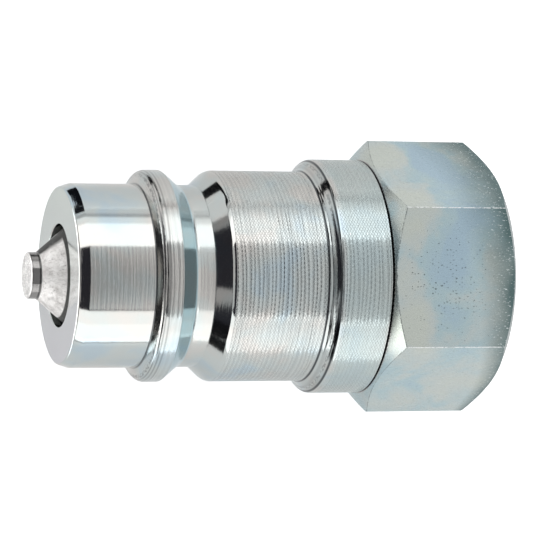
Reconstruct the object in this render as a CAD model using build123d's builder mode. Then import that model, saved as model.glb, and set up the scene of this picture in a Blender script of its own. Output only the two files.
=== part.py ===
from build123d import *
import math
import os

# The male half of a hydraulic quick coupler, lying on one flat of its hexagon.
# X runs along the coupler's own axis: it is 0 at the front face of the nose and grows
# towards the threaded port in the hexagon. Z points up. Every size is in millimetres.

# Nose, which enters the female half
nose_diameter = 20.6
nose_length = 8.65
nose_tip_diameter = 19.8
nose_tip_edge = 0.3
lead_in_length = 1.2

# Collar and locking groove, which the female half's balls hold on to
collar_height = 1.6
collar_front_run = 0.5
collar_width = 2.1
collar_front_edge = 0.8
collar_rear_run = 2.0
groove_depth = 1.65
groove_width = 2.05
groove_corner = 1.0
shoulder_run = 1.8
shoulder_edge = 1.0

# Barrel, and the wider plain ring beside the hexagon
barrel_length = 10.85
step_run = 1.1
step_foot_radius = 1.0
step_top_radius = 0.45
ring_width = 6.0
ring_below_flat = 0.2

# Hexagon for the wrench
hexagon_across_flats = 27.0
hexagon_length = 14.6
hexagon_corner_radius = 0.3
hexagon_bevel_angle = 30.0
rear_face_diameter = 25.45
edge_break = 0.1
bevel_overreach = 1.0

# Mouth, valve seat and inner chamber of the body
mouth_diameter = 11.48
mouth_land = 0.9
mouth_edge = 0.15
chamber_wall = 2.05
guide_step = 0.85

# Port for a G 1/2 parallel pipe thread, bored to the thread's inner diameter
port_bore_diameter = 18.63
port_bore_depth = 20.5
port_mouth_diameter = 21.5

# Valve tip, which closes the mouth
pin_diameter = 5.2
pin_length = 1.07
pin_edge = 0.15
cone_half_angle = 40.0
lip_setback = 1.5
seat_gap = 0.29

# Seal ring on the valve
seal_section = 2.0
seal_gap = 0.1
seal_side_gap = 0.05
seal_bore_gap = 0.02

# Retainer ring behind the seal
retainer_flow_gap = 1.2
retainer_shoulder = 0.6
retainer_flange = 1.6
retainer_boss = 1.5
retainer_edge = 0.3
slip_gap = 0.05

# Valve stem and its travel
stem_diameter = 5.0
stem_shoulder = 0.9
stem_overhang = 1.0
stem_chamfer = 0.5
valve_travel = 5.0
stop_gap = 0.3

# Valve spring
spring_wire = 1.3
spring_inset = 0.65
spring_length = 13.8
spring_turns = 6.0
spring_bore_gap = 0.1
spring_end_gap = 0.02

# Valve guide
guide_thickness = 2.4
guide_hub_length = 3.5
guide_rim = 1.1
guide_window_count = 4
guide_spoke_angle = 34.0
guide_window_gap = 0.35

# Snap ring behind the guide
snap_ring_wire = 1.4
snap_ring_opening = 40.0
snap_groove_gap = 0.05

# Radii and stations worked out from the sizes above
nose_radius = nose_diameter / 2
barrel_radius = nose_radius + collar_height
groove_radius = barrel_radius - groove_depth
ring_radius = hexagon_across_flats / 2 - ring_below_flat
collar_front = nose_length + collar_front_run
collar_back = collar_front + collar_width
groove_front = collar_back + collar_rear_run
groove_back = groove_front + groove_width
barrel_front = groove_back + shoulder_run
step_front = barrel_front + barrel_length
ring_front = step_front + step_run
ring_back = ring_front + ring_width
rear_face = ring_back + hexagon_length

mouth_radius = mouth_diameter / 2
chamber_radius = groove_radius - chamber_wall
seat_back = mouth_land + chamber_radius - mouth_radius
guide_bore_radius = chamber_radius + guide_step
port_radius = port_bore_diameter / 2
port_mouth_radius = port_mouth_diameter / 2


def seat_line(station, gap):
    """Radius of a line that runs inside the 45 degree valve seat, at a square distance gap from it."""
    return mouth_radius + station - mouth_land - gap * math.sqrt(2)


# The seal rests along the seat, and the valve's lip holds the seal from the front.
seal_radius = seal_section / 2
seal_station = lip_setback + seal_side_gap + seal_radius
seal_ring_radius = seat_line(seal_station, seal_radius + seal_gap)
lip_radius = seat_line(lip_setback, seat_gap)
cone_length = (lip_radius - pin_diameter / 2) / math.tan(math.radians(cone_half_angle))
cone_front = lip_setback - cone_length
pin_front = cone_front - pin_length

spigot_radius = seal_ring_radius - seal_radius - seal_bore_gap
retainer_front = seal_station + seal_radius + seal_side_gap
retainer_back = retainer_front + retainer_flange
retainer_end = retainer_back + retainer_boss
retainer_radius = chamber_radius - retainer_flow_gap
retainer_seat_radius = spigot_radius - retainer_shoulder

spring_outer_radius = retainer_radius - spring_inset
spring_mean_radius = spring_outer_radius - spring_wire / 2
spring_seat_radius = spring_outer_radius - spring_wire - spring_bore_gap

guide_front = retainer_back + spring_length
guide_back = guide_front + guide_thickness
guide_hub_front = guide_front - guide_hub_length
guide_radius = guide_bore_radius - slip_gap
stem_radius = stem_diameter / 2
stop_station = guide_hub_front - valve_travel - stop_gap
stem_end = guide_back + stem_overhang

snap_ring_radius = snap_ring_wire / 2
snap_ring_station = guide_back + slip_gap + snap_ring_radius


def turned_outline(corners):
    """Closed outline of a turned piece: corners are (station, radius, rounding), first and last on the axis.

    A rounding takes at most 45 percent of the shorter of the two runs that meet in its corner.
    """
    points = [Vector(station, radius) for station, radius, rounding in corners]
    roundings = []
    for before, corner, after, (_, _, rounding) in zip(points, points[1:], points[2:], corners[1:]):
        turn = math.radians((corner - before).get_angle(after - corner))
        run = min((corner - before).length, (after - corner).length)
        roundings.append(min(rounding, 0.45 * run / math.tan(turn / 2)))
    FilletPolyline(*points, radius=roundings)
    Line(points[-1], points[0])


# Body, turned from one hexagon bar: the hexagon and its bevels first
bevel_slope = math.tan(math.radians(hexagon_bevel_angle))
bevel_reach = hexagon_across_flats / math.sqrt(3) + bevel_overreach
with BuildPart() as coupler_body:
    with BuildSketch(Plane.YZ.offset(ring_back)) as bar_section:
        RegularPolygon(hexagon_across_flats / 2, 6, major_radius=False)
        fillet(bar_section.vertices(), hexagon_corner_radius)
    extrude(amount=hexagon_length)
    with BuildSketch(Plane.XZ):
        with BuildLine():
            Polyline(
                (ring_back, 0),
                (ring_back, ring_radius),
                (ring_back + (bevel_reach - ring_radius) * bevel_slope, bevel_reach),
                (rear_face - (bevel_reach - rear_face_diameter / 2) * bevel_slope, bevel_reach),
                (rear_face, rear_face_diameter / 2),
                (rear_face, 0),
                close=True,
            )
        make_face()
    revolve(axis=Axis.X, mode=Mode.INTERSECT)

    # the turned length, from the nose to the ring beside the hexagon
    with BuildSketch(Plane.XZ):
        with BuildLine():
            turned_outline([
                (0, 0, 0),
                (0, nose_tip_diameter / 2, nose_tip_edge),
                (lead_in_length, nose_radius, edge_break),
                (nose_length, nose_radius, edge_break),
                (collar_front, barrel_radius, collar_front_edge),
                (collar_back, barrel_radius, edge_break),
                (groove_front, groove_radius, groove_corner),
                (groove_back, groove_radius, edge_break),
                (barrel_front, barrel_radius, shoulder_edge),
                (step_front, barrel_radius, step_foot_radius),
                (ring_front, ring_radius, step_top_radius),
                (ring_back, ring_radius, 0),
                (ring_back, 0, 0),
            ])
        make_face()
    revolve(axis=Axis.X)

    # the bore: mouth, valve seat, chamber, seat for the guide, port and its bevelled mouth
    with BuildSketch(Plane.XZ):
        with BuildLine():
            Polyline(
                (0, 0),
                (0, mouth_radius),
                (mouth_land, mouth_radius),
                (seat_back, chamber_radius),
                (guide_front, chamber_radius),
                (guide_front, guide_bore_radius),
                (rear_face - port_bore_depth, guide_bore_radius),
                (rear_face - port_bore_depth + abs(port_radius - guide_bore_radius), port_radius),
                (rear_face - (port_mouth_radius - port_radius), port_radius),
                (rear_face, port_mouth_radius),
                (rear_face, 0),
                close=True,
            )
        make_face()
    revolve(axis=Axis.X, mode=Mode.SUBTRACT)
    with BuildSketch(Plane.XZ):
        with Locations((snap_ring_station, guide_bore_radius)):
            Circle(snap_ring_radius + snap_groove_gap)
    revolve(axis=Axis.X, mode=Mode.SUBTRACT)
    front_circles = coupler_body.edges().filter_by(GeomType.CIRCLE).group_by(Axis.X)[0]
    fillet(front_circles.sort_by(SortBy.RADIUS)[0], mouth_edge)

# Valve: pin, cone and lip in front, the seal's spigot, the retainer's seat and the stem
with BuildPart() as valve:
    with BuildSketch(Plane.XZ):
        with BuildLine():
            turned_outline([
                (pin_front, 0, 0),
                (pin_front, pin_diameter / 2, pin_edge),
                (cone_front, pin_diameter / 2, edge_break),
                (lip_setback, lip_radius, edge_break),
                (lip_setback, spigot_radius, 0),
                (retainer_front, spigot_radius, edge_break),
                (retainer_front, retainer_seat_radius, 0),
                (retainer_end, retainer_seat_radius, edge_break),
                (retainer_end, stem_radius + stem_shoulder, 0),
                (stop_station, stem_radius + stem_shoulder, edge_break),
                (stop_station, stem_radius, 0),
                (stem_end - stem_chamfer, stem_radius, 0),
                (stem_end, stem_radius - stem_chamfer, 0),
                (stem_end, 0, 0),
            ])
        make_face()
    revolve(axis=Axis.X)

# Seal: a rubber ring of round section
with BuildPart() as valve_seal:
    with BuildSketch(Plane.XZ):
        with Locations((seal_station, seal_ring_radius)):
            Circle(seal_radius)
    revolve(axis=Axis.X)

# Retainer: a flanged ring that slips over the valve and takes the spring on its boss
with BuildPart() as seal_retainer:
    with BuildSketch(Plane.YZ.offset(retainer_front)):
        Circle(retainer_radius)
    extrude(amount=retainer_flange)
    fillet(seal_retainer.edges().filter_by(GeomType.CIRCLE), retainer_edge)
    with BuildSketch(Plane.YZ.offset(retainer_back)):
        Circle(spring_seat_radius)
    extrude(amount=retainer_boss)
    chamfer(seal_retainer.edges().filter_by(GeomType.CIRCLE).group_by(Axis.X)[-1], edge_break)
    with BuildSketch(Plane.YZ.offset(retainer_front)):
        Circle(retainer_seat_radius + slip_gap)
    extrude(amount=retainer_flange + retainer_boss, mode=Mode.SUBTRACT)

# Spring: a right-hand coil whose two ends are ground flat
with BuildPart() as valve_spring:
    with BuildLine() as coil:
        Helix(
            pitch=spring_length / spring_turns,
            height=spring_length,
            radius=spring_mean_radius,
            center=(retainer_back, 0, 0),
            direction=(1, 0, 0),
        )
    with BuildSketch(Plane(origin=coil.line @ 0, z_dir=coil.line % 0)):
        Circle(spring_wire / 2)
    sweep(path=coil.line, is_frenet=True)
    split(bisect_by=Plane.YZ.offset(retainer_back + spring_end_gap), keep=Keep.TOP)
    split(bisect_by=Plane.YZ.offset(guide_front - spring_end_gap), keep=Keep.BOTTOM)

# Guide: a disc with a long hub for the stem and windows for the oil
window_inner_radius = spring_seat_radius + guide_window_gap
window_outer_radius = guide_radius - guide_rim
window_middle_radius = (window_inner_radius + window_outer_radius) / 2
window_width = window_outer_radius - window_inner_radius
window_pitch = 360 / guide_window_count
window_end_angle = math.degrees(window_width / 2 / window_middle_radius)
window_sweep = window_pitch - guide_spoke_angle - 2 * window_end_angle
with BuildPart() as valve_guide:
    with BuildSketch(Plane.YZ.offset(guide_front)):
        Circle(guide_radius)
    extrude(amount=guide_thickness)
    chamfer(valve_guide.edges().filter_by(GeomType.CIRCLE), edge_break)
    with BuildSketch(Plane.YZ.offset(guide_hub_front)):
        Circle(spring_seat_radius)
    extrude(amount=guide_hub_length)
    chamfer(valve_guide.edges().filter_by(GeomType.CIRCLE).group_by(Axis.X)[0], edge_break)
    window_line = CenterArc((0, 0), window_middle_radius, -window_sweep / 2, window_sweep, mode=Mode.PRIVATE)
    with BuildSketch(Plane.YZ.offset(guide_front)):
        with PolarLocations(0, guide_window_count, start_angle=window_pitch / 2):
            SlotArc(window_line, window_width)
    extrude(amount=guide_thickness, mode=Mode.SUBTRACT)
    with BuildSketch(Plane.YZ.offset(guide_hub_front)):
        Circle(stem_radius + slip_gap)
    extrude(amount=guide_hub_length + guide_thickness, mode=Mode.SUBTRACT)

# Snap ring: an open ring of round wire, half of it in the body's groove
with BuildPart() as snap_ring:
    with BuildSketch(Plane.XZ):
        with Locations((snap_ring_station, guide_bore_radius)):
            Circle(snap_ring_radius)
    revolve(axis=Axis.X, revolution_arc=360 - snap_ring_opening)

pieces = {
    "coupler_body": coupler_body,
    "valve": valve,
    "valve_seal": valve_seal,
    "seal_retainer": seal_retainer,
    "valve_spring": valve_spring,
    "valve_guide": valve_guide,
    "snap_ring": snap_ring,
}
os.makedirs("parts", exist_ok=True)
for name, piece in pieces.items():
    piece.part.label = name
    export_step(piece.part, f"parts/{name}.step")
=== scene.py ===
import bpy
import math
from mathutils import Matrix, Vector


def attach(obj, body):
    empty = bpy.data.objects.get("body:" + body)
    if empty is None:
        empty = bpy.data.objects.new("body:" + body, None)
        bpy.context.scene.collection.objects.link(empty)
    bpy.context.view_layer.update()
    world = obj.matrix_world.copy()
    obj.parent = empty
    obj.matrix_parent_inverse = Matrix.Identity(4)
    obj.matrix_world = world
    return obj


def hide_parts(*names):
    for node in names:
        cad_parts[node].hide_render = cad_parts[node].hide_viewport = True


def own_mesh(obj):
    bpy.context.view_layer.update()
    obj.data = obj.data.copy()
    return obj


# The male half of a hydraulic quick coupler lies on one flat of its hexagon on a pale floor.
# X runs along its axis from the nose to the port, and Z points up. Sizes are in millimetres
# up to the mesh, which is in metres.
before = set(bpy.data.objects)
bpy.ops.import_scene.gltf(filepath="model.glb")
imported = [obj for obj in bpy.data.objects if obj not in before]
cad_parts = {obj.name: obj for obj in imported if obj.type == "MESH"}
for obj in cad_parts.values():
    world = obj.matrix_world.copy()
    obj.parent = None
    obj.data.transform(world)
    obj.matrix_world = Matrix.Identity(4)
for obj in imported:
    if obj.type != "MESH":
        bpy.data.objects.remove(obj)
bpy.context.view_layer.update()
bpy.ops.object.select_all(action="DESELECT")
MM = 0.001

# ---- Coupler body ----
# One piece of free-cutting steel, turned from hexagon bar: nose, collar, locking groove, barrel,
# ring and hexagon. It is bored and threaded from behind, then plated with bright zinc.
FACE_R = 9.9
NOSE_FRONT = 1.2
NOSE_BACK = 8.65
NOSE_R = 10.3
COLLAR_FRONT = 9.15
COLLAR_BACK = 11.25
GROOVE_FRONT = 13.25
GROOVE_BACK = 15.3
GROOVE_R = 10.25
BARREL_FRONT = 17.1
BARREL_BACK = 27.95
BARREL_R = 11.9
RING_FRONT = 29.05
RING_BACK = 35.05
RING_R = 13.3
RELIEF = 0.24
FLAT_R = 13.5
CORNER_R = 15.54
CORNER_CUT = 15.52
BEVEL_SLOPE = math.tan(math.radians(30))
REAR_FACE = 49.65
REAR_R = 12.725
PORT_MOUTH_R = 10.75
THREAD_ROOT_R = 10.5
THREAD_CREST_R = 9.315
THREAD_END = 34.3
PORT_BORE_FRONT = 29.415
GUIDE_BORE_BACK = 29.15
GUIDE_BORE_FRONT = 19.0
GUIDE_BORE_R = 9.05
VALVE_BORE_FRONT = 3.36
VALVE_BORE_R = 8.2
MOUTH_BACK = 0.9
MOUTH_R = 5.74
BODY_TURNS = 192
WELD = 0.002
FACET_DEGREES = 9


def drawn_line(name, points):
    """Draws a line through (x, radius) points above the axis and leaves it in edit mode."""
    bpy.ops.mesh.primitive_plane_add(size=MM, location=(points[0][0] * MM, 0, points[0][1] * MM))
    line = bpy.context.object
    line.name = name
    bpy.ops.object.transform_apply(location=True)
    bpy.ops.object.mode_set(mode="EDIT")
    bpy.ops.mesh.merge(type="CENTER")
    for (x0, r0), (x1, r1) in zip(points, points[1:]):
        step = ((x1 - x0) * MM, 0, (r1 - r0) * MM)
        bpy.ops.mesh.extrude_region_move(TRANSFORM_OT_translate={"value": step})
    return line


def turned(name, outline, turns, closed):
    """Draws an outline of (x, radius, rounding) corners, rounds the corners and spins it."""
    piece = drawn_line(name, [(x, r) for x, r, _ in outline])
    if closed:
        bpy.ops.mesh.select_all(action="SELECT")
        bpy.ops.mesh.edge_face_add()
        bpy.ops.mesh.delete(type="ONLY_FACE")
    corners = [Vector((x * MM, 0, r * MM)) for x, r, _ in outline]
    for n, (_, _, rounding) in enumerate(outline):
        if not rounding:
            continue
        before = corners[n] - corners[n - 1]
        after = corners[(n + 1) % len(corners)] - corners[n]
        bend = before.angle(after)
        bpy.ops.mesh.select_all(action="DESELECT")
        bpy.ops.object.mode_set(mode="OBJECT")
        nearest = min(piece.data.vertices, key=lambda v: (v.co - corners[n]).length)
        nearest.select = True
        bpy.ops.object.mode_set(mode="EDIT")
        bpy.ops.mesh.bevel(
            offset=rounding * MM * math.tan(bend / 2),
            offset_type="OFFSET",
            affect="VERTICES",
            segments=max(2, round(math.degrees(bend) / FACET_DEGREES)),
            clamp_overlap=False,
        )
    bpy.ops.mesh.select_all(action="SELECT")
    bpy.ops.mesh.spin(steps=turns, angle=2 * math.pi, center=(0, 0, 0), axis=(1, 0, 0))
    bpy.ops.mesh.select_all(action="SELECT")
    bpy.ops.mesh.remove_doubles(threshold=WELD * MM)
    bpy.ops.mesh.normals_make_consistent(inside=False)
    bpy.ops.object.mode_set(mode="OBJECT")
    return piece


def cut_off(place, outwards, fill):
    """Cuts off what lies beyond a plane, on a piece in edit mode."""
    bpy.ops.mesh.select_all(action="SELECT")
    bpy.ops.mesh.bisect(plane_co=place, plane_no=outwards, use_fill=fill, clear_outer=True)


def smoothed(piece, angle):
    """Smooth faces with sharp edges over an angle, where large faces keep their own normals."""
    bpy.ops.object.shade_smooth_by_angle(angle=math.radians(angle))
    bpy.ops.object.modifier_add(type="WEIGHTED_NORMAL")
    piece.modifiers[-1].keep_sharp = True
    bpy.ops.object.modifier_apply(modifier=piece.modifiers[-1].name)


body = turned("body_steel", [
    (0, MOUTH_R, 0.15),
    (0, FACE_R, 0.3),
    (NOSE_FRONT, NOSE_R, 0.1),
    (NOSE_BACK, NOSE_R, 0.1),
    (COLLAR_FRONT, BARREL_R, 0.8),
    (COLLAR_BACK, BARREL_R, 0.1),
    (GROOVE_FRONT, GROOVE_R, 1.0),
    (GROOVE_BACK, GROOVE_R, 0.1),
    (BARREL_FRONT, BARREL_R, 1.0),
    (BARREL_BACK, BARREL_R, 1.0),
    (RING_FRONT, RING_R, 0.45),
    (RING_BACK - 0.26, RING_R, 0.03),
    (RING_BACK - 0.2, RING_R - RELIEF, 0.03),
    (RING_BACK - RELIEF * BEVEL_SLOPE, RING_R - RELIEF, 0.03),
    (RING_BACK + (CORNER_R - RING_R) * BEVEL_SLOPE, CORNER_R, 0),
    (REAR_FACE - (CORNER_R - REAR_R) * BEVEL_SLOPE, CORNER_R, 0),
    (REAR_FACE, REAR_R, 0.05),
    (REAR_FACE, PORT_MOUTH_R, 0.05),
    (REAR_FACE - PORT_MOUTH_R + THREAD_ROOT_R, THREAD_ROOT_R, 0),
    (THREAD_END, THREAD_ROOT_R, 0),
    (THREAD_END, THREAD_CREST_R, 0),
    (PORT_BORE_FRONT, THREAD_CREST_R, 0),
    (GUIDE_BORE_BACK, GUIDE_BORE_R, 0),
    (GUIDE_BORE_FRONT, GUIDE_BORE_R, 0),
    (GUIDE_BORE_FRONT, VALVE_BORE_R, 0),
    (VALVE_BORE_FRONT, VALVE_BORE_R, 0),
    (MOUTH_BACK, MOUTH_R, 0),
], BODY_TURNS, closed=True)

# six flats are milled off the round bar, and their corners are broken
milled = [(60 * n, FLAT_R) for n in range(6)]
broken = [(60 * n + 30, CORNER_CUT) for n in range(6)]
bpy.ops.object.mode_set(mode="EDIT")
for degrees, depth in milled + broken:
    outwards = (0, math.sin(math.radians(degrees)), math.cos(math.radians(degrees)))
    cut_off(tuple(depth * MM * c for c in outwards), outwards, fill=True)
bpy.ops.object.mode_set(mode="OBJECT")
smoothed(body, 24)


def new_finish(name, metallic):
    """A new material, its node tree and its surface."""
    finish = bpy.data.materials.new(name)
    finish.use_nodes = True
    surface = finish.node_tree.nodes["Principled BSDF"]
    surface.inputs["Metallic"].default_value = metallic
    return finish, finish.node_tree, surface


def add(tree, kind, inputs=None, **settings):
    """Adds a shader node, sets or links its inputs by name or number, and returns it."""
    new = tree.nodes.new("ShaderNode" + kind)
    for name, value in settings.items():
        setattr(new, name, value)
    for name, value in (inputs or {}).items():
        if isinstance(value, bpy.types.Node):
            value = value.outputs[0]
        if isinstance(value, bpy.types.NodeSocket):
            tree.links.new(value, new.inputs[name])
        else:
            new.inputs[name].default_value = value
    return new


def maths(tree, operation, *values, clamp=False):
    return add(tree, "Math", dict(enumerate(values)), operation=operation, use_clamp=clamp)


def plus(tree, first, second):
    return maths(tree, "ADD", first, second)


def minus(tree, first, second):
    return maths(tree, "SUBTRACT", first, second)


def times(tree, first, *others):
    for other in others:
        first = maths(tree, "MULTIPLY", first, other)
    return first


def darkest(tree, first, second):
    """The stronger of two marks, where they meet."""
    return maths(tree, "MAXIMUM", first, second)


def band(tree, value, low, high, fade=0.05):
    """1 where a value lies between two limits, with soft ends."""
    rise = maths(tree, "DIVIDE", minus(tree, value, low), fade, clamp=True)
    fall = maths(tree, "DIVIDE", minus(tree, high, value), fade, clamp=True)
    return times(tree, rise, fall)


def fading(tree, distance, reach):
    """1 at no distance, falling to 0 at a reach."""
    return maths(tree, "SUBTRACT", 1, maths(tree, "DIVIDE", distance, reach), clamp=True)


def ramp(tree, factor, stops, interpolation="LINEAR"):
    """A colour ramp of (place, grey or colour) stops."""
    new = add(tree, "ValToRGB", {0: factor})
    new.color_ramp.interpolation = interpolation
    elements = new.color_ramp.elements
    while len(elements) < len(stops):
        elements.new(1)
    for element, (place, colour) in zip(elements, stops):
        element.position = place
        element.color = (*colour, 1) if isinstance(colour, tuple) else (colour, colour, colour, 1)
    return new


def mixed(tree, factor, under, over):
    """One colour over another."""
    colours = [(*c, 1) if isinstance(c, tuple) else c for c in (under, over)]
    return add(tree, "MixRGB", {0: factor, 1: colours[0], 2: colours[1]})


def stretched(tree, place, factors):
    """A place with its three parts multiplied."""
    return add(tree, "VectorMath", {0: place, 1: factors}, operation="MULTIPLY")


def noise(tree, place, scale, detail=2, roughness=0.5, distortion=0):
    """Soft noise, of a scale per millimetre where the place is in millimetres."""
    return add(tree, "TexNoise", {
        "Vector": place,
        "Scale": scale,
        "Detail": detail,
        "Roughness": roughness,
        "Distortion": distortion,
    })


def millimetres(tree):
    """The place on the piece in millimetres, its three parts, and its distance from the axis."""
    at = stretched(tree, add(tree, "TexCoord").outputs["Object"], (1000, 1000, 1000))
    along, side, up = add(tree, "SeparateXYZ", {0: at}).outputs
    squares = plus(tree, times(tree, side, side), times(tree, up, up))
    return at, along, side, up, maths(tree, "SQRT", squares)


def dressed(tree, surface, colour, roughness, height):
    """Gives a surface its colour, its roughness and its relief, a height in millimetres."""
    bump = add(tree, "Bump", {"Strength": 1, "Distance": MM, "Height": height})
    for source, socket in ((colour, "Base Color"), (roughness, "Roughness"), (bump, "Normal")):
        tree.links.new(source.outputs[0], surface.inputs[socket])


zinc, tree, skin = new_finish("zinc_plate", metallic=1)
at, along, side, up, reach = millimetres(tree)

# each length of the body: (start, coarse rings, fine rings, roughness, crossed texture)
lengths = [
    (-1, 0.03, 0.10, 0.13, 0.0),  # face
    (0.03, 0.0, 0.30, 0.08, 0.0),  # bevel of the nose
    (NOSE_FRONT, 0.035, 0.20, 0.11, 0.0),  # nose
    (NOSE_BACK, 0.45, 0.9, 0.12, 0.0),  # front edge of the collar
    (9.6, 0.40, 0.9, 0.15, 0.0),  # collar
    (COLLAR_BACK, 0.0, 0.10, 0.12, 0.0),  # flank of the collar
    (GROOVE_FRONT, 0.04, 0.20, 0.14, 0.2),  # floor of the groove
    (15.35, 0.0, 0.14, 0.09, 0.0),  # shoulder of the barrel
    (BARREL_FRONT, 0.9, 0.9, 0.15, 0.9),  # barrel
    (27.8, 1.0, 0.45, 0.10, 0.0),  # step up to the ring
    (29.2, 0.50, 0.9, 0.15, 0.9),  # ring
    (34.9, 0.0, 0.0, 0.13, 0.0),  # hexagon
]
LENGTHS_START = 1
LENGTHS_SPAN = 60
fraction = maths(tree, "DIVIDE", plus(tree, along, LENGTHS_START), LENGTHS_SPAN)
coarse_depth, fine_depth, turned_roughness, crossed = [
    ramp(
        tree,
        fraction,
        [((row[0] + LENGTHS_START) / LENGTHS_SPAN, row[column]) for row in lengths],
        "CONSTANT",
    )
    for column in (1, 2, 3, 4)
]

# turning marks: rings of the tool's feed, a little uneven, with finer rings between them
RING_PITCH = 0.48
RING_WANDER = 9
COARSE_HEIGHT = 0.017
FINE_HEIGHT = 0.022
streaks = stretched(tree, at, (1, 0.05, 0.05))
wander = times(tree, noise(tree, streaks, 1.3), RING_WANDER)
wave = maths(tree, "SINE", plus(tree, times(tree, along, 2 * math.pi / RING_PITCH), wander))
swell = plus(tree, times(tree, noise(tree, streaks, 0.5), 1.2), 0.4)
wave_depth = times(tree, coarse_depth, swell)
fine = noise(tree, streaks, 9, detail=3, roughness=0.6)
marks = plus(
    tree,
    times(tree, wave, COARSE_HEIGHT, wave_depth),
    times(tree, fine, FINE_HEIGHT, fine_depth),
)

# the crossed texture under the rings, a fine weave of dull spots in the plate
WEAVE_PITCH = 0.33
WEAVE_TURNS = 145
WEAVE_OPENING = 0.72
weave_around = times(tree, maths(tree, "ARCTAN2", side, up), WEAVE_TURNS)
weave_along = times(tree, along, 2 * math.pi / WEAVE_PITCH)
one_way = maths(tree, "SINE", plus(tree, weave_along, weave_around))
other_way = maths(tree, "SINE", minus(tree, weave_along, weave_around))
weave = maths(tree, "MAXIMUM", one_way, other_way)
dull_spots = times(tree, maths(tree, "GREATER_THAN", weave, WEAVE_OPENING), crossed)

# milled flats, between the turned bevels at their two ends: a fine grain along the coupler
GRAIN_HEIGHT = 0.006
front_rise = times(tree, minus(tree, reach, RING_R), BEVEL_SLOPE)
to_front = minus(tree, along, plus(tree, front_rise, RING_BACK))
rear_fall = times(tree, minus(tree, reach, REAR_R), BEVEL_SLOPE)
to_rear = minus(tree, minus(tree, REAR_FACE, rear_fall), along)
flats = maths(
    tree,
    "MINIMUM",
    band(tree, to_front, 0.02, 20, fade=0.01),
    band(tree, to_rear, 0.02, 20, fade=0.01),
)
hexagon = band(tree, along, 35.08, 49.6, fade=0.02)
drawn = stretched(tree, at, (0.5, 1.2, 1.2))
grain = noise(tree, drawn, 4.5, detail=4, roughness=0.75)
relief = plus(tree, marks, times(tree, flats, GRAIN_HEIGHT, grain))

# places are pushed about by curls of up to 2 mm, which gives every stain a ragged edge
curls = noise(tree, at, 0.35, detail=3).outputs["Color"]
curls = add(tree, "VectorMath", {0: curls, 1: (0.5, 0.5, 0.5)}, operation="SUBTRACT")
curls = stretched(tree, curls, (4, 4, 4))
pushed = add(tree, "VectorMath", {0: at, 1: curls}, operation="ADD")


def stain(x, y, z, radius):
    """1 at a place on the body, falling to 0 at a ragged edge."""
    away = add(tree, "VectorMath", {0: pushed, 1: (x, y, z)}, operation="DISTANCE")
    return fading(tree, away.outputs["Value"], radius)


# tiny pits in the plate of the flats, thickest on the upper one
PIT_DEPTH = 0.015
PIT_SCALE = 4.8
PITTED_SPOT = (40.5, -0.5, 13.5, 7)
ragged = stretched(tree, noise(tree, at, 9).outputs["Color"], (0.16, 0.16, 0.16))
long_cells = stretched(tree, at, (0.6, 1, 1))
long_cells = add(tree, "VectorMath", {0: long_cells, 1: ragged}, operation="ADD")
cells = add(tree, "TexVoronoi", {"Vector": long_cells, "Scale": PIT_SCALE, "Randomness": 1})
crowd = noise(tree, at, 0.22, detail=1)
lot = maths(tree, "POWER", add(tree, "SeparateColor", {0: cells.outputs["Color"]}), 2.2)
thick = plus(tree, times(tree, crowd, 0.28), times(tree, stain(*PITTED_SPOT), 0.3))
pit_size = times(tree, lot, thick)
pits = times(tree, maths(tree, "LESS_THAN", cells.outputs["Distance"], pit_size), flats)
relief = minus(tree, relief, times(tree, pits, PIT_DEPTH))

# the passivated plate's tints: pale green, blue and straw-coloured clouds, with more straw on
# the two sides of the nose
cloud = noise(tree, at, 0.15, detail=3, distortion=0.3)
for side_y, straw in ((9, 0.13), (-9.5, 0.16)):
    cloud = minus(tree, cloud, times(tree, stain(5, side_y, -2, 9), straw))
turned_tint = ramp(tree, cloud, [
    (0.38, (0.525, 0.515, 0.49)),
    (0.46, (0.495, 0.52, 0.505)),
    (0.55, (0.485, 0.53, 0.525)),
    (0.64, (0.43, 0.51, 0.55)),
])

# large stains on the flats: (x, y, z, radius, towards blue)
stains = [
    (42.3, 11.4, 7.2, 6.8, 0.30),
    (36.8, 13.6, 3.2, 3.5, -0.14),
    (37.6, 9.2, 11.0, 3.2, -0.22),
    (37.3, 6.0, 13.5, 3.6, -0.16),
    (36.6, -0.8, 13.5, 2.6, -0.12),
    (37.4, -5.0, 13.5, 3.2, -0.20),
    (41.2, 2.2, 13.5, 5.0, 0.14),
    (44.2, 6.4, 13.5, 2.8, 0.12),
    (46.2, 1.6, 13.5, 4.0, -0.13),
    (41.0, -5.4, 13.5, 3.4, 0.13),
    (41.0, -8.6, 12.2, 3.0, 0.08),
    (38.2, -13.0, 4.6, 4.0, 0.07),
    (43.5, -13.0, 4.5, 3.0, -0.06),
    (42.6, 13.6, 3.4, 4.4, 0.32),
]
patch = noise(tree, at, 0.11, detail=4, roughness=0.62, distortion=0.5)
hue = plus(tree, times(tree, patch, 0.6), 0.19)
for x, y, z, radius, blue in stains:
    hue = plus(tree, hue, times(tree, stain(x, y, z, radius), blue))
flat_tint = ramp(tree, hue, [
    (0.37, (0.505, 0.54, 0.495)),
    (0.45, (0.485, 0.53, 0.51)),
    (0.50, (0.45, 0.52, 0.52)),
    (0.55, (0.395, 0.505, 0.53)),
    (0.64, (0.355, 0.47, 0.545)),
])
tint = mixed(tree, hexagon, turned_tint, flat_tint)

# the collar's flank is bluer, the ring greyer, and the nose's face turns from pale green to
# lavender across
tint = mixed(tree, band(tree, along, 11.2, 13.35, fade=0.2), tint, (0.395, 0.53, 0.575))
ring = times(tree, band(tree, along, 29.3, 35.0, fade=0.5), 0.7)
tint = mixed(tree, ring, tint, (0.395, 0.46, 0.455))
across = maths(tree, "DIVIDE", plus(tree, side, 9), 18, clamp=True)
face_tint = mixed(tree, across, (0.505, 0.505, 0.535), (0.50, 0.545, 0.51))
tint = mixed(tree, maths(tree, "LESS_THAN", along, 0.02), tint, face_tint)

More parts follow.
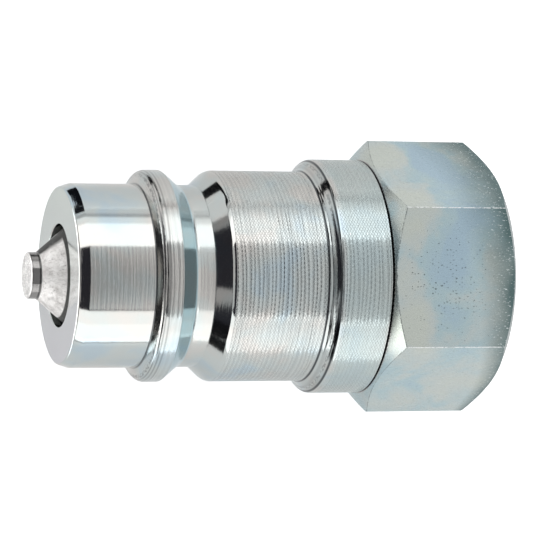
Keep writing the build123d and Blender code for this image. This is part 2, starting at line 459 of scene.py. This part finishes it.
# towards the sawn end the flats turn darker and greener, most of all on one side, with light
# specks in the dark
rear_darkening_reach = plus(tree, times(tree, side, 0.22), 4.7)
rear_darkening = maths(tree, "POWER", fading(tree, to_rear, rear_darkening_reach), 1.25)
rear_darkening = maths(tree, "MULTIPLY", rear_darkening, plus(tree, crowd, 0.52), clamp=True)
rear_darkening = times(tree, rear_darkening, hexagon)
tint = mixed(tree, rear_darkening, tint, (0.10, 0.155, 0.155))
specks = maths(tree, "GREATER_THAN", noise(tree, drawn, 7, detail=1), 0.69)
tint = mixed(tree, times(tree, rear_darkening, flats, specks), tint, (0.75, 0.80, 0.80))

# painted shade in the valleys of the rings and in the root of the hexagon; the pits hold a darker
# film
# painted shade: the valleys of the rings are darkened in the tint
painted_valley_shade = times(tree, wave_depth, 0.12, minus(tree, 1, wave))
tint = mixed(tree, painted_valley_shade, tint, (0.12, 0.13, 0.14))
tint = mixed(tree, times(tree, pits, 0.7), tint, (0.06, 0.07, 0.07))
# painted shade: a near-black band in the relief groove at the root of the hexagon
painted_root_shade = band(tree, along, RING_BACK - 0.28, RING_BACK + 0.02, fade=0.06)
tint = mixed(tree, painted_root_shade, tint, (0.015, 0.018, 0.02))

# the tool chattered on the collar's front edge: a place on an edge is told by x plus radius
CHATTER_PITCH = 0.46
profile = plus(tree, along, reach)
chatter = maths(tree, "SINE", times(tree, profile, 2 * math.pi / CHATTER_PITCH))
chatter = times(
    tree,
    maths(tree, "GREATER_THAN", chatter, 0.1),
    band(tree, profile, 20.6, 21.9, fade=0.1),
    0.35,
    band(tree, along, 8.7, 10.2, fade=0.1),
)

# painted shade at the collar's root and painted dark reflections on both edges of the step, added
# to the chatter marks: (start, end, darkness)
chatter_and_painted_lines = chatter
for low, high, dark in ((8.48, 8.70, 0.8), (27.72, 27.98, 0.88), (28.80, 29.02, 0.85)):
    chatter_and_painted_lines = darkest(tree, chatter_and_painted_lines, times(tree, band(tree, along, low, high), dark))

# painted shade, broken into dark flecks, beside the edges of the collar and of the step
painted_flecks = noise(tree, stretched(tree, at, (3, 1, 1)), 2.6, detail=3, roughness=0.6)
painted_flecks = maths(tree, "GREATER_THAN", painted_flecks, 0.5)
for low, high, dark in ((20.0, 20.6, 0.5), (41.0, 41.6, 0.4)):
    edge = band(tree, profile, low, high, fade=0.1)
    painted_fleck_band = times(tree, edge, painted_flecks, dark, band(tree, along, 8.7, 29.0))
    chatter_and_painted_lines = darkest(tree, chatter_and_painted_lines, painted_fleck_band)
# the chatter marks, the painted shade lines and the painted dark flecks darken the tint
tint = mixed(tree, chatter_and_painted_lines, tint, (0.03, 0.035, 0.04))

# the flats' front rims are dotted with dirt, and the broken corners carry a speckled painted
# highlight
rim = band(tree, to_front, 0.02, 0.13, fade=0.01)
rim = times(tree, rim, hexagon, maths(tree, "GREATER_THAN", grain, 0.47), 0.6)
tint = mixed(tree, rim, tint, (0.05, 0.06, 0.065))
# painted highlight: the broken corners are given a near-white colour in specks
corner = times(tree, maths(tree, "GREATER_THAN", reach, CORNER_CUT - 0.003), flats)
corner = times(tree, corner, maths(tree, "GREATER_THAN", grain, 0.46))
tint = mixed(tree, corner, tint, (0.85, 0.87, 0.87))

roughness = plus(tree, turned_roughness, times(tree, hexagon, 0.14))
roughness = plus(tree, roughness, times(tree, minus(tree, grain, 0.5), 0.12))
roughness = plus(tree, roughness, times(tree, dull_spots, 0.42))
dressed(tree, skin, tint, roughness, relief)

body.data.materials.clear()
body.data.materials.append(zinc)
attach(body, "fitting")
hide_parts("coupler_body")

# ---- Port thread ----
# A G 1/2 parallel pipe thread, 14 threads to the inch, cut 15 mm deep into the body's rear bore.
# Its ridges are drawn with narrow flats at crest and root, and the port's bevel runs out its
# first turn.
THREAD_PITCH = 25.4 / 14
THREAD_FLAT = 0.25
THREAD_STEPS = 96
THREAD_WELD = 0.01

flank = (THREAD_PITCH - 2 * THREAD_FLAT) / 2
start = THREAD_END - THREAD_PITCH
thread = drawn_line("port_thread", [
    (start, THREAD_CREST_R),
    (start + THREAD_FLAT, THREAD_CREST_R),
    (start + THREAD_FLAT + flank, THREAD_ROOT_R),
    (start + 2 * THREAD_FLAT + flank, THREAD_ROOT_R),
    (THREAD_END, THREAD_CREST_R),
])
bpy.ops.object.mode_set(mode="OBJECT")
screw = thread.modifiers.new("turns", "SCREW")
screw.axis = "X"
screw.screw_offset = THREAD_PITCH * MM
screw.iterations = math.ceil((REAR_FACE - THREAD_END) / THREAD_PITCH) + 2
screw.steps = screw.render_steps = THREAD_STEPS
screw.use_merge_vertices = True
screw.merge_threshold = THREAD_WELD * MM
bpy.ops.object.modifier_apply(modifier=screw.name)
bpy.ops.object.mode_set(mode="EDIT")
bpy.ops.mesh.select_all(action="SELECT")
bpy.ops.mesh.remove_doubles(threshold=THREAD_WELD * MM)
cut_off((THREAD_END * MM, 0, 0), (-1, 0, 0), fill=False)
cut_off(((REAR_FACE - PORT_MOUTH_R + THREAD_ROOT_R) * MM, 0, 0), (1, 0, 0), fill=False)
bpy.ops.object.mode_set(mode="OBJECT")
for vertex in thread.data.vertices:
    x, y, z = vertex.co
    off_axis = math.hypot(y, z)
    bevel = x + (PORT_MOUTH_R - REAR_FACE) * MM
    if off_axis < bevel:
        vertex.co = (x, y * bevel / off_axis, z * bevel / off_axis)
bpy.ops.object.mode_set(mode="EDIT")
bpy.ops.mesh.select_all(action="SELECT")
bpy.ops.mesh.normals_make_consistent(inside=True)
bpy.ops.object.mode_set(mode="OBJECT")
smoothed(thread, 30)
thread.data.materials.clear()
thread.data.materials.append(zinc)
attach(thread, "fitting")

# ---- Valve ----
# The poppet, turned in one piece from steel bar: pin, cone and sealing lip in front, then the
# seal's spigot, the retainer's seat and the stem. The female half's own poppet pushes its pin.
PIN_FRONT = -3.538
PIN_BACK = -2.468
PIN_R = 2.6
LIP_BACK = 1.5
LIP_R = 5.93
SEAL_SEAT_R = 4.814
SEAL_SEAT_BACK = 3.6
RETAINER_SEAT_R = 4.214
RETAINER_SEAT_BACK = 6.7
SPRING_SPIGOT_R = 3.4
SPRING_SPIGOT_BACK = 10.2
STEM_R = 2.5
STEM_BACK = 22.4
STEM_BEVEL = 0.5
VALVE_TURNS = 128

valve = turned("valve_steel_part", [
    (PIN_FRONT, 0, 0),
    (PIN_FRONT, PIN_R, 0.15),
    (PIN_BACK, PIN_R, 0.1),
    (LIP_BACK, LIP_R, 0.1),
    (LIP_BACK, SEAL_SEAT_R, 0),
    (SEAL_SEAT_BACK, SEAL_SEAT_R, 0.1),
    (SEAL_SEAT_BACK, RETAINER_SEAT_R, 0),
    (RETAINER_SEAT_BACK, RETAINER_SEAT_R, 0.1),
    (RETAINER_SEAT_BACK, SPRING_SPIGOT_R, 0),
    (SPRING_SPIGOT_BACK, SPRING_SPIGOT_R, 0.1),
    (SPRING_SPIGOT_BACK, STEM_R, 0),
    (STEM_BACK - STEM_BEVEL, STEM_R, 0),
    (STEM_BACK, STEM_R - STEM_BEVEL, 0),
    (STEM_BACK, 0, 0),
], VALVE_TURNS, closed=False)
smoothed(valve, 24)

steel, tree, skin = new_finish("valve_steel", metallic=1)
at, along, side, up, reach = millimetres(tree)
clouds = noise(tree, at, 0.9, detail=4, roughness=0.65)
tone = ramp(tree, clouds, [
    (0.34, (0.44, 0.425, 0.41)),
    (0.46, (0.62, 0.605, 0.59)),
    (0.62, (0.74, 0.73, 0.715)),
])
cone = band(tree, along, -2.44, 1.6)
pin = band(tree, along, -3.45, -2.44)
tone = mixed(tree, times(tree, cone, 0.12), tone, (0.05, 0.05, 0.05))
tone = mixed(tree, times(tree, pin, 0.9), tone, (0.22, 0.215, 0.21))

# painted shade in the root of the pin and on the cone inside the nose, a painted dark reflection
# in a stripe up one side of the cone, and a darker front edge on the pin
painted_pin_root_shade = times(tree, band(tree, along, -2.66, -2.36), 0.85)
pin_edge = times(tree, band(tree, along, -3.5, -3.28), 0.35)
painted_mouth_shade = band(tree, along, -0.06, 1.6, fade=0.08)
turn = maths(tree, "ARCTAN2", side, up)
painted_reflection_stripe = times(tree, cone, clouds, band(tree, turn, 0.95, 1.75, fade=0.2), 2.2)
painted_shade_and_dark_edge = darkest(tree, darkest(tree, painted_pin_root_shade, pin_edge), painted_mouth_shade)
painted_shade_and_dark_edge = maths(tree, "MAXIMUM", painted_shade_and_dark_edge, painted_reflection_stripe, clamp=True)
# the painted shade, the painted reflection and the darker pin edge darken the steel
tone = mixed(tree, painted_shade_and_dark_edge, tone, (0.06, 0.06, 0.058))

# dents and scratches from the female half's poppet
DENT_RADIUS = 0.3
DENT_DEPTH = 0.03
SCRATCH_DEPTH = 0.012
CLOUD_HEIGHT = 0.014
slanted = add(tree, "Mapping", {0: at, "Rotation": (0.5, 0.3, 0.6), "Scale": (0.25, 1.6, 1)})
scratches = band(tree, noise(tree, slanted, 2.4, distortion=0.6), 0.555, 0.585, fade=0.012)
cells = add(tree, "TexVoronoi", {"Vector": at, "Scale": 0.75, "Randomness": 1})
dents = fading(tree, cells.outputs["Distance"], DENT_RADIUS)
tone = mixed(tree, times(tree, scratches, cone, 0.7), tone, (0.12, 0.115, 0.11))
tone = mixed(tree, times(tree, dents, cone, 0.55), tone, (0.16, 0.155, 0.15))
dull = plus(tree, times(tree, cone, 0.26), 0.24)
dull = minus(tree, dull, times(tree, pin, 0.13))
dull = plus(tree, dull, times(tree, cone, 0.12, clouds))
relief = times(tree, noise(tree, at, 5, detail=4, roughness=0.7), CLOUD_HEIGHT)
relief = minus(tree, relief, times(tree, dents, DENT_DEPTH))
relief = minus(tree, relief, times(tree, scratches, SCRATCH_DEPTH))
relief = times(tree, relief, minus(tree, 1, times(tree, pin, 0.7)))
dressed(tree, skin, tone, dull, relief)

valve.data.materials.clear()
valve.data.materials.append(steel)
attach(valve, "poppet")
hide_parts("valve")

# ---- Valve spring ----
# A coil of 1.3 mm spring wire between the retainer and the guide, six turns with both ends
# ground flat. It shuts the valve, and shortens by 5 mm as the valve opens.
SPRING_FRONT = 5.2
SPRING_BACK = 19.0
SPRING_TURNS = 6
SPRING_R = 5.7
SPRING_GAP = 0.02
WIRE_R = 0.65
WIRE_SIDES = 20
STEPS_PER_TURN = 64

bpy.ops.mesh.primitive_circle_add(
    vertices=WIRE_SIDES,
    radius=WIRE_R * MM,
    location=(SPRING_FRONT * MM, 0, SPRING_R * MM),
    rotation=(math.pi / 2, 0, 0),
)
spring = bpy.context.object
spring.name = "spring_wire"
bpy.ops.object.transform_apply(location=True, rotation=True)
coil = spring.modifiers.new("coil", "SCREW")
coil.axis = "X"
coil.screw_offset = (SPRING_BACK - SPRING_FRONT) / SPRING_TURNS * MM
coil.iterations = SPRING_TURNS
coil.steps = coil.render_steps = STEPS_PER_TURN
bpy.ops.object.modifier_apply(modifier=coil.name)
bpy.ops.object.mode_set(mode="EDIT")
bpy.ops.mesh.select_all(action="SELECT")
bpy.ops.mesh.remove_doubles(threshold=WELD * MM)
cut_off(((SPRING_FRONT + SPRING_GAP) * MM, 0, 0), (-1, 0, 0), fill=True)
cut_off(((SPRING_BACK - SPRING_GAP) * MM, 0, 0), (1, 0, 0), fill=True)
bpy.ops.mesh.select_all(action="SELECT")
bpy.ops.mesh.normals_make_consistent(inside=False)
bpy.ops.object.mode_set(mode="OBJECT")
smoothed(spring, 40)


def inner_metal(name, dark, light, roughness, pitch):
    """Turned or drawn metal with fine rings along the axis and a cloudy, oily film."""
    metal, tree, skin = new_finish(name, metallic=1)
    at, along, side, up, reach = millimetres(tree)
    film = noise(tree, at, 0.6, detail=4, roughness=0.6)
    tone = ramp(tree, film, [(0.35, dark), (0.62, light)])
    speckle = noise(tree, at, 6, detail=3)
    dull = plus(tree, roughness - 0.06, times(tree, speckle, 0.12))
    rings = maths(tree, "SINE", times(tree, plus(tree, along, reach), 2 * math.pi / pitch))
    relief = plus(tree, times(tree, rings, 0.003), times(tree, speckle, 0.008))
    dressed(tree, skin, tone, dull, relief)
    return metal


wire = inner_metal("spring_wire", (0.30, 0.30, 0.31), (0.52, 0.52, 0.53), 0.3, 0.4)
spring.data.materials.clear()
spring.data.materials.append(wire)
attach(spring, "fitting")
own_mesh(spring)
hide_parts("valve_spring")

# ---- Guide, snap ring and retainer ----
# A plated steel guide carries the valve's stem and is held in the bore by an open ring of round
# spring wire. The brass retainer behind the seal is pressed on the valve and centres the spring.
guide_zinc = inner_metal("guide_zinc", (0.42, 0.43, 0.43), (0.56, 0.57, 0.57), 0.28, 0.3)
ring_wire = inner_metal("snap_ring_wire", (0.16, 0.16, 0.17), (0.34, 0.34, 0.35), 0.36, 0.5)
brass = inner_metal("retainer_brass", (0.50, 0.36, 0.15), (0.72, 0.55, 0.27), 0.26, 0.25)
for node, metal in (
    ("valve_guide", guide_zinc),
    ("snap_ring", ring_wire),
    ("seal_retainer", brass),
):
    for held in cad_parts[node].material_slots:
        held.material = metal

# ---- Valve seal ----
# A moulded ring of black nitrile rubber in the groove behind the valve's lip. It seals on the
# cone inside the nose.
rubber, tree, skin = new_finish("seal_rubber", metallic=0)
skin.inputs["IOR"].default_value = 1.52
at, along, side, up, reach = millimetres(tree)
bloom = noise(tree, at, 1.5, detail=4)
black = ramp(tree, bloom, [(0.35, 0.012), (0.7, 0.035)])
matt = ramp(tree, bloom, [(0.3, 0.42), (0.7, 0.58)])
dressed(tree, skin, black, matt, times(tree, noise(tree, at, 9, detail=3), 0.012))
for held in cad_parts["valve_seal"].material_slots:
    held.material = rubber

# ---- Floor ----
# A round sweep of white paper, flat under the coupler and rising at its far rim. The camera, the
# plating and the gaps in it see the paper as white, and it keeps the coupler's shadow.
FLOOR_Z = -13.5
FLOOR_RIM = [(1000, 0), (1120, 18), (1220, 70), (1280, 150)]
FLOOR_SIDES = 128
PAPER_GLOW = 0.6
PAPER_GLOW_IN_METAL = 0.24
GLOW_GROWS_FROM = 0.5

bpy.ops.mesh.primitive_circle_add(
    vertices=FLOOR_SIDES,
    radius=FLOOR_RIM[0][0] * MM,
    fill_type="NGON",
    location=(0, 0, FLOOR_Z * MM),
)
floor = bpy.context.object
floor.name = "floor"
bpy.ops.object.transform_apply(location=True)
bpy.ops.object.mode_set(mode="EDIT")
bpy.ops.mesh.select_all(action="SELECT")
bpy.ops.mesh.region_to_loop()
for (inner, low), (outer, high) in zip(FLOOR_RIM, FLOOR_RIM[1:]):
    bpy.ops.mesh.extrude_edges_move(TRANSFORM_OT_translate={"value": (0, 0, (high - low) * MM)})
    bpy.ops.transform.resize(value=(outer / inner, outer / inner, 1), center_override=(0, 0, 0))
bpy.ops.object.mode_set(mode="OBJECT")
bpy.ops.object.shade_smooth_by_angle(angle=math.radians(30))


def empty_finish(name):
    """A new material with nothing in it yet, and its node tree."""
    finish = bpy.data.materials.new(name)
    finish.use_nodes = True
    finish.node_tree.nodes.clear()
    return finish, finish.node_tree


# past half a metre out, the paper glows more and more towards the camera, which hides the rim
paper, tree = empty_finish("floor_paper")
rays = add(tree, "LightPath")
place = add(tree, "TexCoord").outputs["Object"]
distance = add(tree, "VectorMath", {0: place}, operation="LENGTH").outputs["Value"]
rim_glow = maths(tree, "SUBTRACT", distance, GLOW_GROWS_FROM, clamp=True)
camera_glow = plus(tree, rim_glow, PAPER_GLOW)
seen = rays.outputs["Is Camera Ray"]
mirrored = maths(
    tree,
    "MAXIMUM",
    rays.outputs["Is Glossy Ray"],
    rays.outputs["Is Transmission Ray"],
)
glow = maths(
    tree,
    "MAXIMUM",
    times(tree, seen, camera_glow),
    times(tree, mirrored, PAPER_GLOW_IN_METAL),
)
white = ramp(tree, noise(tree, place, 900, detail=4), [(0.3, 0.80), (0.7, 0.84)])
both = add(tree, "AddShader", {
    0: add(tree, "BsdfDiffuse", {"Color": white}),
    1: add(tree, "Emission", {"Strength": glow}),
})
add(tree, "OutputMaterial", {"Surface": both})
floor.data.materials.append(paper)

# ---- Lamps ----
# A softbox stands on either side of the camera, in strips that dim towards the floor. Dim panels
# hang over the coupler and behind it, and two small lamps light the nose and its edge.
world = bpy.data.worlds.new("studio")
bpy.context.scene.world = world
world.use_nodes = True
world.node_tree.nodes["Background"].inputs["Color"].default_value = (0.032, 0.032, 0.04, 1)


def softbox(name, along, across, distance, length, width, strength):
    """A lamp that faces the coupler from tilts, in degrees from straight up, towards +X and +Y.

    Its length lies along the coupler.
    """
    towards = Vector((math.tan(math.radians(along)), math.tan(math.radians(across)), 1))
    towards.normalize()
    beside = towards.cross((1, 0, 0)).normalized()
    turn = Matrix((beside.cross(towards), beside, towards)).transposed()
    bpy.ops.object.light_add(
        type="AREA",
        location=tuple(towards * distance * MM),
        rotation=turn.to_euler(),
    )
    lamp = bpy.context.object
    lamp.name = name
    lamp.data.shape = "RECTANGLE"
    lamp.data.size = length * MM
    lamp.data.size_y = width * MM
    lamp.data.energy = strength * math.pi * length * width * MM * MM


softbox("softbox_far", 0, 52.5, 500, 900, 275, 2.0)
softbox("softbox_far_rim", 0, 72.7, 500, 900, 84, 1.35)
softbox("softbox_far_low", 0, 84.5, 500, 900, 123, 0.62)
softbox("softbox_near", 0, -52.5, 500, 900, 160, 1.75)
softbox("softbox_near_rim", 0, -75.5, 500, 900, 247, 1.95)
softbox("panel_front", 2.9, -2.2, 620, 316, 1022, 0.44)
softbox("panel_rear", 38.2, -2.2, 620, 476, 1022, 0.96)
softbox("panel_low", 72, -2.2, 620, 290, 1022, 0.7)
softbox("nose_lamp", -45, 0, 500, 230, 600, 0.7)
softbox("corner_lamp", -74.1, -51.9, 500, 88, 203, 0.45)

# ---- Cards ----
# Black, white and pale cards lie and stand on the floor round the nose. Only polished metal
# shows them: they light nothing and throw no shadow.
CARD_Z = -13.2
CARD_WHITE = 3.0
CARD_PALE = 1.1
CARD_GLOW = 3.7

card_black, tree, skin = new_finish("card_black", metallic=0)
skin.inputs["Base Color"].default_value = (0.01, 0.01, 0.012, 1)
skin.inputs["Roughness"].default_value = 0.9
skin.inputs["Specular IOR Level"].default_value = 0


def lit_card(name, strength):
    """A card that shines with an even white light."""
    finish, tree = empty_finish(name)
    add(tree, "OutputMaterial", {"Surface": add(tree, "Emission", {"Strength": strength})})
    return finish


card_white = lit_card("card_white", CARD_WHITE)
card_pale = lit_card("card_pale", CARD_PALE)
card_glow = lit_card("card_glow", CARD_GLOW)


def card(name, corners, paper):
    """A card through (x, y, z) corners, or flat on the floor through (x, y) corners."""
    bpy.ops.mesh.primitive_circle_add(
        vertices=len(corners),
        radius=1,
        fill_type="NGON",
        location=(0, 0, 0),
    )
    piece = bpy.context.object
    piece.name = name
    for vertex, corner in zip(piece.data.vertices, corners):
        x, y, z = (*corner, CARD_Z)[:3]
        vertex.co = (x * MM, y * MM, z * MM)
    piece.data.materials.append(paper)
    piece.visible_camera = False
    piece.visible_diffuse = False
    piece.visible_shadow = False


card("card_far_low", [
    (-6, 25), (5, 23), (6.4, 27), (7.8, 33), (5, 60), (-1, 95),
    (-8, 185), (-50, 178), (-17, 95), (-8, 50), (-4, 38),
], card_black)
card("card_far", [(-90, 170), (-8, 192), (-8, 192, 18), (-90, 170, 18)], card_black)
card("card_near_low", [(-22, -68), (-42, -56), (-190, -160), (-150, -200)], card_black)
card("card_near", [(-175, -105), (-130, -155), (-130, -155, 35), (-175, -105, 35)], card_black)
card("card_bright", [
    (-8, -26), (-60, -20), (-120, -28), (-130, -62), (-34, -52), (-19, -41),
], card_white)
card("card_pale_far", [(-14, 22), (-16, 50), (-120, 62), (-115, 28), (-60, 20)], card_pale)
card("card_nose", [(-17, -16), (-17, 16), (-17, 16, 5), (-17, -16, 5)], card_glow)

# ---- Camera ----
# A long lens a third of a metre above the coupler, tipped along its axis so that some of the
# nose's face shows. Place and tilt are from a fit to the coupler's outline.
bpy.ops.object.camera_add(
    location=(-0.0813256, 0.0025177, 0.3361367),
    rotation=tuple(math.radians(a) for a in (-0.4783, -17.6024, 0.2959)),
)
camera = bpy.context.object
camera.data.sensor_width = 36
camera.data.lens = 203.208
camera.data.clip_start = 0.01
bpy.context.scene.camera = camera
bpy.context.scene.view_settings.view_transform = "Standard"
